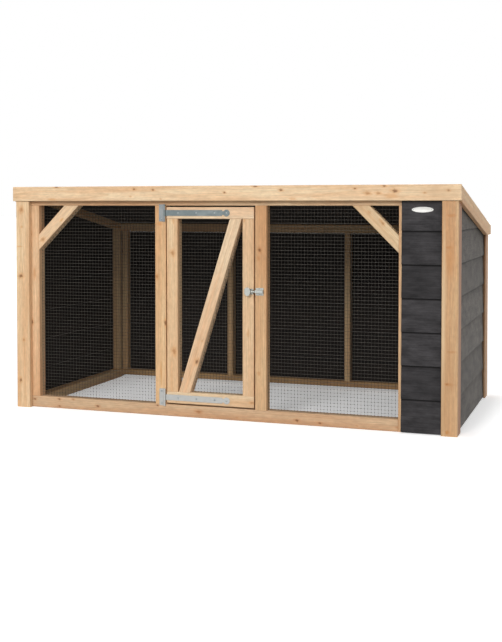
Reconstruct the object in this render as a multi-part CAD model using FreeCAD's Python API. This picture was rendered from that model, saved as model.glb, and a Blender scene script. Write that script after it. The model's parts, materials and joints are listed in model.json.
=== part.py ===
"""Timber pet run with a mono-pitch roof, mesh front, swinging mesh door and a sliding bolt.

Millimetres. +X is to the right, +Y to the back, +Z up. The origin is on the ground, under the
middle of the roof's outline.
"""
import FreeCAD, Part
import math
import os

Vector = FreeCAD.Vector

# Overall sizes
run_width = 1770.0          # over the corner boards, left to right
run_depth = 890.0           # over the corner boards, front to back
front_height = 890.0        # ground to the top edge of the front fascia
back_height = 730.0         # ground to the top edge of the back fascia

# Boards on the corners and round the roof
corner_board_width = 58.0
corner_board_thickness = 22.0
corner_side_width = 60.0
corner_rebate_width = 15.0  # how far a corner board's lip laps over the cladding's ends
corner_rebate_depth = 15.0  # from the frame out to the lip
corner_rebate_gap = 1.0     # cladding's ends to the rebate's wall
fascia_height = 58.0
back_fascia_height = 38.0   # the side fascias are cut level with it
fascia_thickness = 18.0
fascia_side_gap = 1.0       # cladding's thickest edge to the side fascia
fascia_end_gap = 9.0        # front and back frames to their fascia

# Front frame and door stock
stock_width = 45.0
stock_depth = 45.0
end_stile_width = 70.0
top_rail_drop = 75.5        # front fascia's top edge down to the top rail's underside
left_bay_width = 510.0
door_opening_width = 364.0
clad_panel_width = 145.0    # between the right bay stile's bare edge and the corner board
bare_stile_edge = 12.0
brace_thickness = 21.0      # of each layer, one in front of the mesh and one behind it
left_brace_leg = 178.0
right_brace_leg = 171.0

# Side and back frames
batten_width = 25.0
batten_depth = 45.0
low_rail_height = 37.0
back_rail_gap = 11.0        # back frame's bottom rail above the ground
high_rail_height = 28.0
rear_stud_width = 37.0
end_stud_gap = 8.0          # side frame's rear stud to the back frame's end stud
end_stud_setback = 12.0     # end stud's face behind the rails'
middle_stud_offset = 276.0
middle_stud_shift = 7.0     # both middle studs to the right

# Roof
deck_thickness = 9.0
deck_board_width = 115.5
deck_board_gap = 1.5
felt_thickness = 2.0
felt_setback = 0.5          # felt's top below the fascia's top edge

# Tapered, rebated cladding boards
board_cover = 120.5
board_lap = 12.0
board_butt = 13.0
board_tip = 7.0
board_rebate = 8.0
board_ground_gap = 2.5
board_clearance = 0.5

# Welded mesh panels, with a coarse grid of wires
mesh_depth = 22.5           # middle of the mesh behind the frame's front face
mesh_wire = 1.2
mesh_grid_pitch = 76.2
mesh_edge_in = 5.0
mesh_clearance = 0.1

# Door
door_hinge_gap = 4.0
door_latch_gap = 5.0
door_end_gap = 5.5
door_brace_gap = 4.0

# Tee hinges
plate_thickness = 2.0
leaf_width = 23.0           # from the pin to the leaf's far edge
leaf_height = 66.0
leaf_corner = 3.0
leaf_screw_rise = 23.0      # from the leaf's middle up and down to its screws
pin_radius = 2.0
pin_head_radius = 3.0
pin_head_height = 1.2
pin_clearance = 0.05
knuckle_gap = 0.3
strap_width = 22.5
strap_length = 237.0        # from the pin to the neck
strap_neck_width = 15.0
strap_neck_length = 7.0
strap_disc_radius = 13.0
strap_screw_reach = 56.0    # from the pin to the first screw
strap_screw_spacing = 75.0
strap_screw_count = 3

# Screws
screw_head_radius = 3.8
screw_head_height = 1.6
screw_shank_radius = 1.7
screw_length = 16.0
screw_clearance = 0.05
pilot_spare = 1.0

# Sliding bolt, as it stands just short of its keeper
bolt_height = 492.0
bar_radius = 4.0
bar_clearance = 0.1
bar_seat_gap = 0.3
bar_tail = 29.5             # from the guide's end back to the bar's tail
nose_gap = 1.0              # bar's nose to the keeper's mouth
nose_chamfer = 1.0
stem_radius = 3.0
stem_inset = 1.0            # from the bar's tail to the stem
stem_length = 3.7           # between the bar and the thumb plate
thumb_width = 23.0
thumb_height = 33.0
thumb_thickness = 3.0
thumb_offset = 6.5          # thumb plate's middle to the stem
loop_wall = 1.5
guide_edge_gap = 1.0        # guide's end to the door's edge
guide_length = 36.0
guide_height = 21.0
guide_loop_length = 8.0
keeper_edge_gap = 3.5       # keeper's mouth to the latch stile's edge
keeper_length = 31.0
keeper_height = 28.0
keeper_clearance = 1.0
keeper_fold = 2.0           # outer radius of the keeper's folds

# One overrun serves every cut
overrun = 5.0

# Frame and roof places
half_width = run_width / 2
half_depth = run_depth / 2
frame_x = half_width - corner_board_thickness
back_y = half_depth - corner_board_thickness
front_y = -back_y
front_inner_y = front_y + stock_depth
back_inner_y = back_y - batten_depth
side_inner_x = frame_x - batten_depth
back_rail_x = frame_x - rear_stud_width
side_rebate_y = back_y - corner_side_width + corner_rebate_width
side_clad_y = side_rebate_y - corner_rebate_gap
deck_x = frame_x + board_butt + fascia_side_gap
deck_y = back_y + fascia_end_gap
roof_x = deck_x + fascia_thickness
roof_y = deck_y + fascia_thickness
roof_slope = (front_height - back_height) / (2 * roof_y)
roof_tilt = math.atan(roof_slope)
felt_drop = felt_setback + felt_thickness / math.cos(roof_tilt)
deck_drop = felt_drop + deck_thickness / math.cos(roof_tilt)
front_eaves_z = front_height - fascia_height
back_eaves_z = back_height - back_fascia_height

# Front frame places
top_rail_z = front_height - top_rail_drop
left_bay_x = -frame_x + end_stile_width
hinge_stile_x = left_bay_x + left_bay_width
doorway_x0 = hinge_stile_x + stock_width
doorway_x1 = doorway_x0 + door_opening_width
right_bay_x = doorway_x1 + stock_width
corner_x = half_width - corner_board_width
rebate_x = corner_x + corner_rebate_width
clad_right_x = rebate_x - corner_rebate_gap
clad_left_x = corner_x - clad_panel_width
right_stile_x = clad_left_x - bare_stile_edge
panel_rail_x = right_stile_x + stock_width
mesh_y = front_y + mesh_depth

# Door places
door_x0 = doorway_x0 + door_hinge_gap
door_x1 = doorway_x1 - door_latch_gap
door_z0 = stock_width + door_end_gap
door_z1 = top_rail_z - door_end_gap
pane_x0 = door_x0 + stock_width
pane_x1 = door_x1 - stock_width
pane_z0 = door_z0 + stock_width
pane_z1 = door_z1 - stock_width

# Hinge places
plate_y = front_y - plate_thickness
knuckle_radius = pin_radius + plate_thickness
pin_x = doorway_x0 - knuckle_radius
pin_y = front_y - knuckle_radius - knuckle_gap
upper_hinge_z = door_z1 - stock_width / 2
lower_hinge_z = door_z0 + stock_width / 2
strap_end_x = pin_x + strap_length
disc_x = strap_end_x + strap_neck_length + math.sqrt(strap_disc_radius**2 - (strap_neck_width / 2)**2)

# Bolt places
bar_y = plate_y - bar_seat_gap - bar_radius
guide_x1 = door_x1 - guide_edge_gap
guide_x0 = guide_x1 - guide_length
keeper_x0 = doorway_x1 + keeper_edge_gap
keeper_x1 = keeper_x0 + keeper_length
bar_x0 = guide_x1 - bar_tail
bar_x1 = keeper_x0 - nose_gap
stem_x = bar_x0 + stem_inset + stem_radius
thumb_x = stem_x + thumb_offset
thumb_y = bar_y - bar_radius - stem_length

right = Vector(1, 0, 0)
forward = Vector(0, -1, 0)
backward = Vector(0, 1, 0)
up = Vector(0, 0, 1)


def block(x0, x1, y0, y1, z0, z1):
    """A squared timber between two corners."""
    return Part.makeBox(x1 - x0, y1 - y0, z1 - z0, Vector(x0, y0, z0))


def rod(x, y, z, radius, length, direction):
    """A round bar from a point along a direction."""
    return Part.makeCylinder(radius, length, Vector(x, y, z), direction)


def prism(points, sweep):
    """A closed polygon pushed along a vector."""
    return Part.Face(Part.makePolygon(points + points[:1])).extrude(sweep)


def roof_top(y):
    """Height of the fascias' sloping top edge at a depth."""
    return front_height - roof_slope * (y + roof_y)


def sloped(x0, x1, y0, y1, top_drop, low_drop):
    """A board whose upper and lower faces both run parallel to the roof, at two drops below it."""
    profile = [
        Vector(x0, y0, roof_top(y0) - top_drop),
        Vector(x0, y1, roof_top(y1) - top_drop),
        Vector(x0, y1, roof_top(y1) - low_drop),
        Vector(x0, y0, roof_top(y0) - low_drop),
    ]
    return prism(profile, Vector(x1 - x0, 0, 0))


def upright(x0, x1, y0, y1, z0, top_drop):
    """A timber with a level underside whose top is cut parallel to the roof."""
    profile = [
        Vector(x0, y0, z0),
        Vector(x0, y1, z0),
        Vector(x0, y1, roof_top(y1) - top_drop),
        Vector(x0, y0, roof_top(y0) - top_drop),
    ]
    return prism(profile, Vector(x1 - x0, 0, 0))


def board_section(z0):
    """One cladding board's section as pairs of thickness and height, with its rebate at the butt."""
    tip_z = z0 + board_cover + board_lap
    rebate_z = z0 + board_lap + board_clearance
    return [
        (board_rebate, z0),
        (board_butt, z0),
        (board_tip, tip_z),
        (0, tip_z),
        (0, rebate_z),
        (board_rebate, rebate_z),
    ]


def cladding(place, sweep, trim):
    """Courses of boards up a wall, each lapping over the tip of the one below, cut off at the top."""
    boards = []
    z0 = board_ground_gap
    while z0 < front_height:
        points = [place(out, z) for out, z in board_section(z0)]
        boards += prism(points, sweep).cut(trim).Solids
        z0 += board_cover
    return Part.makeCompound(boards)


def board_rebate_room(x0, x1, y0, y1):
    """The room that the cladding's ends take up behind the corner boards' lips."""
    return block(x0, x1, y0, y1, -overrun, front_height)


def above_level(z):
    """All the space over a level, up past the roof."""
    return block(-roof_x, roof_x, -roof_y, roof_y, z, z + front_height)


def mesh_panel(x0, x1, z0, z1):
    """A flat grid of wires whose edges reach into the grooves round an opening."""
    y = mesh_y - mesh_wire / 2
    left = x0 - mesh_edge_in
    low = z0 - mesh_edge_in
    width = x1 - x0 + 2 * mesh_edge_in
    height = z1 - z0 + 2 * mesh_edge_in

    def ring(a0, a1, b0, b1):
        corners = [Vector(a0, y, b0), Vector(a1, y, b0), Vector(a1, y, b1), Vector(a0, y, b1)]
        return Part.makePolygon(corners + corners[:1])

    columns = round(width / mesh_grid_pitch)
    rows = round(height / mesh_grid_pitch)
    step_x = (width - mesh_wire) / columns
    step_z = (height - mesh_wire) / rows
    rings = [ring(left, left + width, low, low + height)]
    for column in range(columns):
        for row in range(rows):
            a0 = left + mesh_wire + column * step_x
            b0 = low + mesh_wire + row * step_z
            rings.append(ring(a0, a0 + step_x - mesh_wire, b0, b0 + step_z - mesh_wire))
    return Part.makeFace(rings, "Part::FaceMakerBullseye").extrude(backward * mesh_wire)


def mesh_groove(x0, x1, z0, z1):
    """The groove for a mesh panel's edges, as one flat block to cut out of the timbers."""
    reach = mesh_edge_in + mesh_clearance
    half = mesh_wire / 2 + mesh_clearance
    return block(x0 - reach, x1 + reach, mesh_y - half, mesh_y + half, z0 - reach, z1 + reach)


def screw(x, z):
    """A hinge screw driven to the back, its pan head seated on the hinge plate."""
    head = rod(x, plate_y, z, screw_head_radius, screw_head_height, forward)
    return head.fuse(rod(x, plate_y, z, screw_shank_radius, screw_length, backward))


def screw_hole(x, z):
    """The hole of a hinge screw, through the plate and into the timber behind it."""
    depth = overrun + screw_length + pilot_spare
    return rod(x, plate_y - overrun, z, screw_shank_radius + screw_clearance, depth, backward)


def hinge_leaf(z):
    """The tee hinge's cross leaf, with a knuckle above and below the strap's."""
    far_x = pin_x - leaf_width
    z0 = z - leaf_height / 2
    plate = block(far_x, pin_x, plate_y, front_y, z0, z0 + leaf_height)
    corners = [edge for edge in plate.Edges if edge.BoundBox.XMax < far_x + leaf_corner
               and edge.BoundBox.ZLength < leaf_corner]
    plate = plate.makeFillet(leaf_corner, corners)
    barrel = rod(pin_x, pin_y, z0, knuckle_radius, leaf_height, up)
    reach = knuckle_radius + knuckle_gap
    half = strap_width / 2 + knuckle_gap
    notch = block(pin_x - reach, pin_x + reach, pin_y - reach, front_y + overrun, z - half, z + half)
    bore = rod(pin_x, pin_y, z0 - overrun, pin_radius + pin_clearance, leaf_height + 2 * overrun, up)
    return plate.fuse(barrel).cut(notch).cut(bore)


def hinge_strap(z):
    """The tee hinge's long strap: a knuckle, a straight bar, a neck and a round end."""
    half = strap_width / 2
    neck = strap_neck_width / 2
    bar = block(pin_x, strap_end_x, plate_y, front_y, z - half, z + half)
    narrow = block(strap_end_x, disc_x, plate_y, front_y, z - neck, z + neck)
    disc = rod(disc_x, plate_y, z, strap_disc_radius, plate_thickness, backward)
    barrel = rod(pin_x, pin_y, z - half, knuckle_radius, strap_width, up)
    relief = block(pin_x - knuckle_radius, doorway_x0 + knuckle_gap, front_y - knuckle_gap,
                   front_y + overrun, z - half, z + half)
    bore = rod(pin_x, pin_y, z - half - overrun, pin_radius + pin_clearance,
               strap_width + 2 * overrun, up)
    return bar.fuse([narrow, disc, barrel]).cut(relief).cut(bore)


def hinge_pin(z):
    """A pin with a peened head at each end."""
    z0 = z - leaf_height / 2 - pin_head_height
    z1 = z + leaf_height / 2
    shank = rod(pin_x, pin_y, z0, pin_radius, z1 - z0, up)
    low_head = rod(pin_x, pin_y, z0, pin_head_radius, pin_head_height, up)
    high_head = rod(pin_x, pin_y, z1, pin_head_radius, pin_head_height, up)
    return shank.fuse([low_head, high_head])


def bolt_guide():
    """The plate on the door, with a pressed half-round loop that the bolt's bar slides in."""
    inner = bar_radius + bar_clearance
    outer = inner + loop_wall
    low = bolt_height - outer
    high = bolt_height + outer
    loop_x = guide_x1 - guide_loop_length
    half = guide_height / 2
    plate = block(guide_x0, guide_x1, plate_y, front_y, bolt_height - half, bolt_height + half)
    arch = rod(loop_x, bar_y, bolt_height, outer, guide_loop_length, right)
    foot = block(loop_x, guide_x1, bar_y, plate_y, low, high)
    behind = block(loop_x, guide_x1, plate_y, plate_y + outer, low, high)
    bore = rod(guide_x0 - overrun, bar_y, bolt_height, inner, guide_length + 2 * overrun, right)
    return plate.fuse(arch.fuse(foot).cut(behind)).cut(bore)


def bolt_keeper():
    """The plate on the latch stile, with a folded bridge that the bar's nose slides into."""
    inner = bar_radius + keeper_clearance
    outer = inner + loop_wall
    crown_y = bar_y - inner
    half = keeper_height / 2
    plate = block(keeper_x0, keeper_x1, plate_y, front_y, bolt_height - half, bolt_height + half)
    bridge = block(keeper_x0, keeper_x1, crown_y - loop_wall, plate_y,
                   bolt_height - outer, bolt_height + outer)
    folds = [edge for edge in bridge.Edges
             if edge.BoundBox.YMax < crown_y and edge.BoundBox.XLength > loop_wall]
    room = block(keeper_x0 - overrun, keeper_x1 + overrun, crown_y, plate_y,
                 bolt_height - inner, bolt_height + inner)
    return plate.fuse(bridge.makeFillet(keeper_fold, folds)).cut(room)


def bolt_bar():
    """The bolt's round bar, with a stem and an oval thumb plate at its tail."""
    bar = rod(bar_x0, bar_y, bolt_height, bar_radius, bar_x1 - bar_x0, right)
    nose = [edge for edge in bar.Edges if edge.BoundBox.XMin > bar_x1 - nose_chamfer]
    bar = bar.makeChamfer(nose_chamfer, nose)
    stem = rod(stem_x, bar_y, bolt_height, stem_radius, bar_y - thumb_y, forward)
    middle = Vector(thumb_x, thumb_y, bolt_height)
    oval = Part.Ellipse(middle + up * (thumb_height / 2), middle + right * (thumb_width / 2), middle)
    thumb = Part.Face(Part.Wire(oval.toShape())).extrude(forward * thumb_thickness)
    return bar.fuse([stem, thumb])


def brace_layers(points):
    """A brace of two boards that hold the mesh between them, from the front board's outline."""
    front = prism(points, backward * brace_thickness)
    return Part.makeCompound([front, front.translated(backward * (stock_depth - brace_thickness))])


def corner_brace(corner, inward, leg):
    """A 45 degree brace between a stile and the top rail, on the given side of the stile."""
    inner = leg - stock_width * math.sqrt(2)
    return brace_layers([
        Vector(corner, front_y, top_rail_z - leg),
        Vector(corner, front_y, top_rail_z - inner),
        Vector(corner + inward * inner, front_y, top_rail_z),
        Vector(corner + inward * leg, front_y, top_rail_z),
    ])


def door_brace():
    """The door's diagonal brace, its ends cut level against the rails."""
    rise = pane_z1 - pane_z0
    low_x = pane_x0 + door_brace_gap
    high_x = pane_x1 - door_brace_gap
    span = high_x - low_x
    narrow = stock_width**2
    root = math.sqrt(narrow * span**2 + (rise**2 - narrow) * (span**2 + rise**2))
    cut = stock_width * (root - stock_width * span) / (rise**2 - narrow)
    return brace_layers([
        Vector(low_x, front_y, pane_z0),
        Vector(low_x + cut, front_y, pane_z0),
        Vector(high_x, front_y, pane_z1),
        Vector(high_x - cut, front_y, pane_z1),
    ])


def roof_boards():
    """Roof boards laid down the slope, side by side across the whole roof."""
    count = round(2 * deck_x / (deck_board_width + deck_board_gap))
    step = (2 * deck_x + deck_board_gap) / count
    boards = []
    for index in range(count):
        x0 = -deck_x + index * step
        boards.append(sloped(x0, x0 + step - deck_board_gap, -deck_y, deck_y, felt_drop, deck_drop))
    return Part.makeCompound(boards)


parts = {}

# Screw places, as pairs of x and z
hinge_heights = {"upper": upper_hinge_z, "lower": lower_hinge_z}
leaf_screw_x = pin_x - (leaf_width + knuckle_radius) / 2
leaf_screws = []
strap_screws = []
for z in hinge_heights.values():
    leaf_screws += [(leaf_screw_x, z + side * leaf_screw_rise) for side in (-1, 1)]
    strap_screws += [(pin_x + strap_screw_reach + step * strap_screw_spacing, z)
                     for step in range(strap_screw_count)]
    strap_screws.append((disc_x, z))
screw_holes = Part.makeCompound([screw_hole(*place) for place in leaf_screws + strap_screws])

# Front frame
left_bay = (left_bay_x, hinge_stile_x, stock_width, top_rail_z)
right_bay = (right_bay_x, right_stile_x, stock_width, top_rail_z)
pane = (pane_x0, pane_x1, pane_z0, pane_z1)
grooves = Part.makeCompound([mesh_groove(*left_bay), mesh_groove(*right_bay)])

front_stiles = {
    "left_end_stile": (-frame_x, left_bay_x, stock_width),
    "hinge_stile": (hinge_stile_x, doorway_x0, stock_width),
    "latch_stile": (doorway_x1, right_bay_x, stock_width),
    "right_bay_stile": (right_stile_x, panel_rail_x, 0),
    "right_end_stile": (frame_x - end_stile_width, frame_x, stock_width),
}
for name, (x0, x1, foot_z) in front_stiles.items():
    stile = block(x0, x1, front_y, front_inner_y, foot_z, top_rail_z)
    parts[name] = stile.cut(grooves).cut(screw_holes)
bottom_rail = block(-frame_x, right_stile_x, front_y, front_inner_y, 0, stock_width)
top_rail = upright(-frame_x, frame_x, front_y, front_inner_y, top_rail_z, deck_drop)
parts["front_bottom_rail"] = bottom_rail.cut(grooves)
parts["panel_bottom_rail"] = block(panel_rail_x, frame_x, front_y, front_inner_y, 0, stock_width)
parts["front_top_rail"] = top_rail.cut(grooves)
parts["left_corner_brace"] = corner_brace(left_bay_x, 1, left_brace_leg)
parts["right_corner_brace"] = corner_brace(right_stile_x, -1, right_brace_leg)
parts["left_mesh_panel"] = mesh_panel(*left_bay)
parts["right_mesh_panel"] = mesh_panel(*right_bay)
parts["front_cladding"] = cladding(
    lambda out, z: Vector(clad_left_x, front_y - out, z),
    right * (clad_right_x - clad_left_x),
    above_level(front_eaves_z),
)

# Side frames, their cladding and the corner boards on the sides
above_deck = sloped(-roof_x, roof_x, -roof_y, roof_y, -front_height, deck_drop)
under_eaves = block(-roof_x, roof_x, -roof_y, roof_y, 0, back_eaves_z)
rebates = {
    "left": board_rebate_room(-frame_x - corner_rebate_depth, -frame_x, -side_rebate_y, side_rebate_y),
    "right": board_rebate_room(frame_x, frame_x + corner_rebate_depth, -side_rebate_y, side_rebate_y),
    "back": board_rebate_room(-rebate_x, rebate_x, back_y, back_y + corner_rebate_depth),
    "front": board_rebate_room(clad_left_x, rebate_x, front_y - corner_rebate_depth, front_y),
}
for name, side in (("left", -1), ("right", 1)):
    x0, x1 = sorted((side * side_inner_x, side * frame_x))
    rail_drop = deck_drop + high_rail_height
    parts[name + "_bottom_rail"] = block(x0, x1, front_inner_y, back_inner_y, 0, low_rail_height)
    parts[name + "_top_rail"] = sloped(x0, x1, front_inner_y, back_inner_y, deck_drop, rail_drop)
    parts[name + "_front_stud"] = upright(
        x0, x1, front_inner_y, front_inner_y + batten_width, low_rail_height, rail_drop)
    parts[name + "_cladding"] = cladding(
        lambda out, z: Vector(side * (frame_x + out), -side_clad_y, z),
        backward * (2 * side_clad_y),
        above_deck,
    )
    x0, x1 = sorted((side * frame_x, side * half_width))
    lip_y = back_y - corner_side_width
    front_board = upright(x0, x1, front_y, -lip_y, 0, fascia_height)
    rear_board = block(x0, x1, lip_y, back_y, 0, back_eaves_z)
    parts[name + "_front_corner_board"] = front_board.cut(rebates[name])
    parts[name + "_rear_corner_board"] = rear_board.cut(rebates[name])
    x0, x1 = sorted((side * corner_x, side * half_width))
    front_board = upright(x0, x1, -half_depth, front_y, 0, fascia_height)
    back_board = block(x0, x1, back_y, half_depth, 0, back_eaves_z)
    parts["front_" + name + "_corner_board"] = front_board.cut(rebates["front"])
    parts["back_" + name + "_corner_board"] = back_board.cut(rebates["back"])
    x0, x1 = sorted((side * deck_x, side * roof_x))
    parts[name + "_fascia"] = sloped(x0, x1, -deck_y, deck_y, 0, fascia_height).cut(under_eaves)

# Back frame, which stands between the side frames' rear studs
back_rail_z = roof_top(back_y) - deck_drop - high_rail_height
end_stud_x = back_rail_x - end_stud_gap
for name, side in (("left", -1), ("right", 1)):
    x0, x1 = sorted((side * back_rail_x, side * frame_x))
    parts[name + "_rear_stud"] = upright(x0, x1, back_inner_y, back_y, 0, deck_drop)
    x0, x1 = sorted((side * (end_stud_x - batten_width), side * end_stud_x))
    parts["back_" + name + "_stud"] = block(
        x0, x1, back_inner_y + end_stud_setback, back_y, low_rail_height, back_rail_z)
    middle = middle_stud_shift + side * middle_stud_offset
    half = batten_width / 2
    parts["back_middle_" + name + "_stud"] = block(
        middle - half, middle + half, back_inner_y, back_y, low_rail_height, back_rail_z)
parts["back_bottom_rail"] = block(
    -back_rail_x, back_rail_x, back_inner_y, back_y, back_rail_gap, low_rail_height)
parts["back_top_rail"] = upright(-back_rail_x, back_rail_x, back_inner_y, back_y, back_rail_z, deck_drop)
parts["back_cladding"] = cladding(
    lambda out, z: Vector(-clad_right_x, back_y + out, z),
    right * (2 * clad_right_x),
    above_level(back_eaves_z),
)

# Roof
parts["roof_boards"] = roof_boards()
parts["roof_felt"] = sloped(-deck_x, deck_x, -deck_y, deck_y, felt_setback, felt_drop)
parts["front_fascia"] = upright(-roof_x, roof_x, -roof_y, -deck_y, front_eaves_z, 0)
parts["back_fascia"] = upright(-roof_x, roof_x, deck_y, roof_y, back_eaves_z, 0)

# Door
door_groove = mesh_groove(*pane)
door_timbers = {
    "door_top_rail": (door_x0, door_x1, pane_z1, door_z1),
    "door_bottom_rail": (door_x0, door_x1, door_z0, pane_z0),
    "door_hinge_side_stile": (door_x0, pane_x0, pane_z0, pane_z1),
    "door_latch_side_stile": (pane_x1, door_x1, pane_z0, pane_z1),
}
for name, (x0, x1, z0, z1) in door_timbers.items():
    timber = block(x0, x1, front_y, front_inner_y, z0, z1)
    parts[name] = timber.cut(door_groove).cut(screw_holes)
parts["door_brace"] = door_brace()
parts["door_mesh_panel"] = mesh_panel(*pane)

# Hinges, bolt and screws
for name, z in hinge_heights.items():
    parts[name + "_hinge_leaf"] = hinge_leaf(z).cut(screw_holes)
    parts[name + "_hinge_strap"] = hinge_strap(z).cut(screw_holes)
parts["hinge_pins"] = Part.makeCompound([hinge_pin(z) for z in hinge_heights.values()])
parts["bolt_guide"] = bolt_guide()
parts["bolt_keeper"] = bolt_keeper()
parts["bolt_bar"] = bolt_bar()
parts["frame_screws"] = Part.makeCompound([screw(*place) for place in leaf_screws])
parts["door_screws"] = Part.makeCompound([screw(*place) for place in strap_screws])

os.makedirs("parts", exist_ok=True)
for name, shape in parts.items():
    shape.exportStep("parts/" + name + ".step")
print(len(parts), "pieces")
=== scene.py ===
"""Looks of a timber pet run with a mono-pitch roof, mesh bays, a braced mesh door and black cladding.

The solids are loaded as they are. Timbers, boards and metal plates get eased edges, the coarse nets give
way to fine welded mesh, and screws, nails and the bare oval plate are added. Metres, +X right, +Y back,
+Z up.
"""
import json
import math
import random

import bmesh
import bpy
from mathutils import Matrix, Vector


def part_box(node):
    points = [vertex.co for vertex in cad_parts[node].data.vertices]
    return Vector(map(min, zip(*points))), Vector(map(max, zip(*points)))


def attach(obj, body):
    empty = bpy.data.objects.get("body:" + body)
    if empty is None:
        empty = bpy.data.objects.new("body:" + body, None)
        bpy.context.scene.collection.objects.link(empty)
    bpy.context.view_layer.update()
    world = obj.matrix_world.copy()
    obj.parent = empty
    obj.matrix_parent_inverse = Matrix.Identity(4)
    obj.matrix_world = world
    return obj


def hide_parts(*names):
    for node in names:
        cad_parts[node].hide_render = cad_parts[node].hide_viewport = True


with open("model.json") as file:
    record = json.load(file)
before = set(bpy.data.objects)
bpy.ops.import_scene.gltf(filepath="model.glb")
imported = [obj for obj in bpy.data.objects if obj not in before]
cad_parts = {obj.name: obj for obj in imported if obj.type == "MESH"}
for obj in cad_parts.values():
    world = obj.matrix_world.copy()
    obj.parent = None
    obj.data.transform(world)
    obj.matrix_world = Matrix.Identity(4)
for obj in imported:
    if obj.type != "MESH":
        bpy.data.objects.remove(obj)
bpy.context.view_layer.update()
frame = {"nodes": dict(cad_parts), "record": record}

bl_info = {
    "name": "Pet run",
    "version": (1, 0, 0),
    "blender": (4, 5, 0),
    "location": "View3D > Sidebar > Pet run",
    "description": "Dresses the pet run with planed timber, black boards, welded mesh, zinc and felt",
    "category": "Object",
}

SLOTS = {part["node"]: part["material_slot"] for part in frame["record"]["subparts"]}
BODIES = {node: body for body, nodes in frame["record"]["behaviour"]["bodies"].items() for node in nodes}
TIMBERS = sorted(node for node, slot in SLOTS.items() if slot == "planed_softwood")
PLATES = sorted(node for node, slot in SLOTS.items() if slot == "galvanised_steel")
NETS = sorted(node for node, slot in SLOTS.items() if slot == "galvanised_wire")

WELD = 2e-5                  # corners nearer to each other than this are one
FLAT = math.radians(1.0)     # faces that meet at less than this are one face
CORNER = math.radians(35)    # outside edges sharper than this are eased
ROUND = math.radians(50)     # faces that meet at less than this are shaded as one
LONG_SHARE = 0.3             # edges along a board are longer than this share of its longest edge
INWARD_SHARE = 0.9           # a board's inner faces look this far inward, as a cosine
FRONT = (0, -1, 0)           # outward at the front
BACK = (0, 1, 0)             # outward at the back

# Tones of single boards; boards that aren't named take turns through the last list.
# Tones are partly each board's own and partly painted light and shade: lighter towards the top left of the
# front, darker towards its bottom and right, and darkest on the right side's corner boards, the back bottom
# rail and the timbers inside, which stand in shade.
BOARD_TONES = {
    "front_fascia": "fffdf5",
    "front_left_corner_board": "faf3e6",
    "left_end_stile": "f3e6d8",
    "hinge_stile": "f4e9d5",
    "door_hinge_side_stile": "f8f2e5",
    "door_latch_side_stile": "f2e8db",
    "door_top_rail": "fffdfa",
    "door_bottom_rail": "f6f6f0",
    "latch_stile": "e6d6c1",
    "front_bottom_rail": "ded2c7",
    "front_right_corner_board": "e2d2bd",
    # Painted shade on this board's face on the run's right side.
    "right_front_corner_board": "b99e90",
    "left_corner_brace": "fffffa",
    "right_corner_brace": "eeeadd",
    "door_brace": "faf6f0",
    "right_fascia": "f6ead9",
    # Painted shade on the right side's rear corner board.
    "right_rear_corner_board": "b8a697",
    # Painted shade on the back bottom rail inside the run.
    "back_bottom_rail": "ab997c",
}
# The timbers inside are darkened as painted shade.
INSIDE_SHADED_TONES = {
    "cdc2ab": ("back_left_stud", "back_middle_left_stud", "back_middle_right_stud", "back_right_stud",
               "left_rear_stud", "right_rear_stud", "back_top_rail"),
    "d8ccb6": ("left_bottom_rail", "right_bottom_rail", "left_top_rail", "right_top_rail"),
}
BOARD_TONES.update({node: tone for tone, nodes in INSIDE_SHADED_TONES.items() for node in nodes})
OTHER_TONES = ("fbf1e4", "f6eadb", "fdf5ea", "f4e5d3")
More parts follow.
